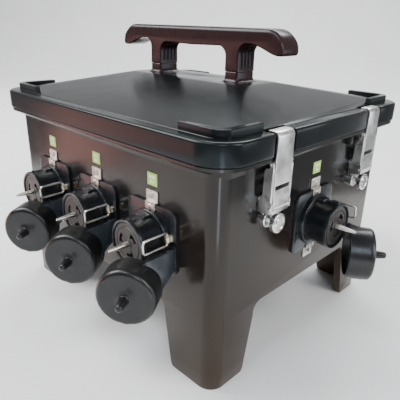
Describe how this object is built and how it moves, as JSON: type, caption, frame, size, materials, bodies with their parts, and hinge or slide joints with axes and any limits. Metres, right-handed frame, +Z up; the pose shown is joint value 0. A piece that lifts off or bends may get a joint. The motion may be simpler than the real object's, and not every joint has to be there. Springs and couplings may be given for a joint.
{
  "type": "portable power distribution box",
  "caption": "Portable power distribution box: moulded tub on corner legs, lift-off hipped lid with carry handle, draw latches, flanged locking outlets with tethered caps.",
  "frame": {"origin": "at floor level under the middle of the whole outline, with the caps hanging open; the tub's own middle is 30.9 mm towards -X from it", "axes": "+X along the box's long side towards the short wall with the fourth outlet, +Y towards the inlet wall (the three outlets face -Y), +Z up"},
  "size_m": [0.4747, 0.4868, 0.3615],
  "materials": {
    "body_plastic": "satin moulded polymer",
    "insert_plastic": "matt thermoset",
    "black_rubber": "matt moulded rubber",
    "stainless_steel": "brushed",
    "plated_steel": "zinc plated, dull",
    "zinc_plate": "yellowish zinc plate",
    "brass": "plain, slightly dull",
    "label_film": "printed film",
    "gear_plastic": "light grey moulding",
    "lever_plastic": "black moulding",
    "button_plastic": "yellow moulding"
  },
  "bodies": {
    "base": {"tub": "body_plastic", "outlet_housing_1": "body_plastic", "outlet_housing_2": "body_plastic", "outlet_housing_3": "body_plastic", "outlet_housing_4": "body_plastic", "inlet_housing": "body_plastic", "outlet_inserts": "insert_plastic", "inlet_insert": "insert_plastic", "earth_pins": "stainless_steel", "inlet_pins": "brass", "flange_clips": "zinc_plate", "clip_screws": "plated_steel", "clip_rivets": "brass", "outlet_labels": "label_film", "bail_eyes": "brass", "tether_lugs": "plated_steel", "latch_base_1": "stainless_steel", "latch_base_2": "stainless_steel", "latch_base_3": "stainless_steel", "latch_base_4": "stainless_steel", "latch_pins": "stainless_steel", "gear_plate": "stainless_steel", "standoffs": "plated_steel", "din_rail": "zinc_plate", "breaker_cases": "gear_plastic", "main_switch_case": "gear_plastic", "terminal_bars": "brass"},
    "lid": {"lid": "body_plastic", "lid_gasket": "black_rubber", "handle": "body_plastic", "handle_screws": "plated_steel"},
    "cap_1": {"cap_1": "black_rubber", "cap_tether_1": "black_rubber"},
    "cap_2": {"cap_2": "black_rubber", "cap_tether_2": "black_rubber"},
    "cap_3": {"cap_3": "black_rubber", "cap_tether_3": "black_rubber"},
    "cap_4": {"cap_4": "black_rubber", "cap_tether_4": "black_rubber"},
    "cap_5": {"cap_5": "black_rubber", "cap_tether_5": "black_rubber"},
    "bail_1": {"bail_1": "plated_steel"},
    "bail_2": {"bail_2": "plated_steel"},
    "bail_3": {"bail_3": "plated_steel"},
    "bail_4": {"bail_4": "plated_steel"},
    "bail_5": {"bail_5": "plated_steel"},
    "latch_strap_1": {"latch_strap_1": "stainless_steel"},
    "latch_strap_2": {"latch_strap_2": "stainless_steel"},
    "latch_strap_3": {"latch_strap_3": "stainless_steel"},
    "latch_strap_4": {"latch_strap_4": "stainless_steel"},
    "latch_cam_1": {"latch_cam_1": "stainless_steel"},
    "latch_cam_2": {"latch_cam_2": "stainless_steel"},
    "latch_cam_3": {"latch_cam_3": "stainless_steel"},
    "latch_cam_4": {"latch_cam_4": "stainless_steel"},
    "toggle_1": {"breaker_toggle_1": "lever_plastic"},
    "toggle_2": {"breaker_toggle_2": "lever_plastic"},
    "toggle_3": {"breaker_toggle_3": "lever_plastic"},
    "toggle_4": {"breaker_toggle_4": "lever_plastic"},
    "main_toggle": {"main_toggle": "lever_plastic"},
    "test_button": {"test_button": "button_plastic"}
  },
  "joints": [
    {"name": "lid_lift", "type": "slide", "parent": "base", "child": "lid", "axis": [0, 0, 1], "range_m": [0, 0.06]},
    {"name": "latch_swing_1", "type": "hinge", "parent": "base", "child": "latch_strap_1", "pos_m": [0.17156, -0.0915, 0.202], "axis": [0, 1, 0], "range_deg": [0, 135.1]},
    {"name": "latch_swing_2", "type": "hinge", "parent": "base", "child": "latch_strap_2", "pos_m": [0.17156, 0.0915, 0.202], "axis": [0, 1, 0], "range_deg": [0, 135.1]},
    {"name": "latch_swing_3", "type": "hinge", "parent": "base", "child": "latch_strap_3", "pos_m": [-0.23344, 0.0915, 0.202], "axis": [0, -1, 0], "range_deg": [0, 135.1]},
    {"name": "latch_swing_4", "type": "hinge", "parent": "base", "child": "latch_strap_4", "pos_m": [-0.23344, -0.0915, 0.202], "axis": [0, -1, 0], "range_deg": [0, 135.1]},
    {"name": "latch_cam_turn_1", "type": "hinge", "parent": "base", "child": "latch_cam_1", "pos_m": [0.16306, -0.0915, 0.184], "axis": [1, 0, 0], "range_deg": [0, 180]},
    {"name": "latch_cam_turn_2", "type": "hinge", "parent": "base", "child": "latch_cam_2", "pos_m": [0.16306, 0.0915, 0.184], "axis": [1, 0, 0], "range_deg": [0, 180]},
    {"name": "latch_cam_turn_3", "type": "hinge", "parent": "base", "child": "latch_cam_3", "pos_m": [-0.22494, 0.0915, 0.184], "axis": [-1, 0, 0], "range_deg": [0, 180]},
    {"name": "latch_cam_turn_4", "type": "hinge", "parent": "base", "child": "latch_cam_4", "pos_m": [-0.22494, -0.0915, 0.184], "axis": [-1, 0, 0], "range_deg": [0, 180]},
    {"name": "cap_swing_1", "type": "hinge", "parent": "base", "child": "cap_1", "pos_m": [-0.09694, -0.172, 0.1425], "axis": [0, 0, 1], "range_deg": [0, 25]},
    {"name": "cap_swing_2", "type": "hinge", "parent": "base", "child": "cap_2", "pos_m": [0.00306, -0.172, 0.1425], "axis": [0, 0, 1], "range_deg": [0, 25]},
    {"name": "cap_swing_3", "type": "hinge", "parent": "base", "child": "cap_3", "pos_m": [0.10306, -0.172, 0.1425], "axis": [0, 0, 1], "range_deg": [0, 25]},
    {"name": "cap_swing_4", "type": "hinge", "parent": "base", "child": "cap_4", "pos_m": [0.16606, 0.036, 0.1425], "axis": [0, 0, 1], "range_deg": [0, 25]},
    {"name": "cap_swing_5", "type": "hinge", "parent": "base", "child": "cap_5", "pos_m": [-0.06694, 0.172, 0.1425], "axis": [0, 0, 1], "range_deg": [0, 25]},
    {"name": "bail_swing_1", "type": "hinge", "parent": "base", "child": "bail_1", "pos_m": [-0.10144, -0.171, 0.166], "axis": [0, 0, 1], "range_deg": [0, 75]},
    {"name": "bail_swing_2", "type": "hinge", "parent": "base", "child": "bail_2", "pos_m": [-0.00144, -0.171, 0.166], "axis": [0, 0, 1], "range_deg": [0, 75]},
    {"name": "bail_swing_3", "type": "hinge", "parent": "base", "child": "bail_3", "pos_m": [0.09856, -0.171, 0.166], "axis": [0, 0, 1], "range_deg": [0, 75]},
    {"name": "bail_swing_4", "type": "hinge", "parent": "base", "child": "bail_4", "pos_m": [0.16506, 0.0315, 0.166], "axis": [0, 0, 1], "range_deg": [0, 75]},
    {"name": "bail_swing_5", "type": "hinge", "parent": "base", "child": "bail_5", "pos_m": [-0.06244, 0.171, 0.166], "axis": [0, 0, 1], "range_deg": [0, 75]},
    {"name": "breaker_switch_1", "type": "hinge", "parent": "base", "child": "toggle_1", "pos_m": [-0.10094, 0, 0.2475], "axis": [1, 0, 0], "range_deg": [0, 56]},
    {"name": "breaker_switch_2", "type": "hinge", "parent": "base", "child": "toggle_2", "pos_m": [-0.08294, 0, 0.2475], "axis": [1, 0, 0], "range_deg": [0, 56]},
    {"name": "breaker_switch_3", "type": "hinge", "parent": "base", "child": "toggle_3", "pos_m": [-0.06494, 0, 0.2475], "axis": [1, 0, 0], "range_deg": [0, 56]},
    {"name": "breaker_switch_4", "type": "hinge", "parent": "base", "child": "toggle_4", "pos_m": [-0.04694, 0, 0.2475], "axis": [1, 0, 0], "range_deg": [0, 56]},
    {"name": "main_switch", "type": "hinge", "parent": "base", "child": "main_toggle", "pos_m": [-0.01594, 0, 0.2475], "axis": [1, 0, 0], "range_deg": [0, 56]},
    {"name": "test_button_press", "type": "slide", "parent": "base", "child": "test_button", "axis": [0, 0, -1], "range_m": [0, 0.002], "stiffness_N_per_m": 600}
  ],
  "couplings": [
    {"joint": "latch_swing_1", "follows": "lid_lift", "rad_per_m": 39.27},
    {"joint": "latch_swing_2", "follows": "lid_lift", "rad_per_m": 39.27},
    {"joint": "latch_swing_3", "follows": "lid_lift", "rad_per_m": 39.27},
    {"joint": "latch_swing_4", "follows": "lid_lift", "rad_per_m": 39.27}
  ]
}
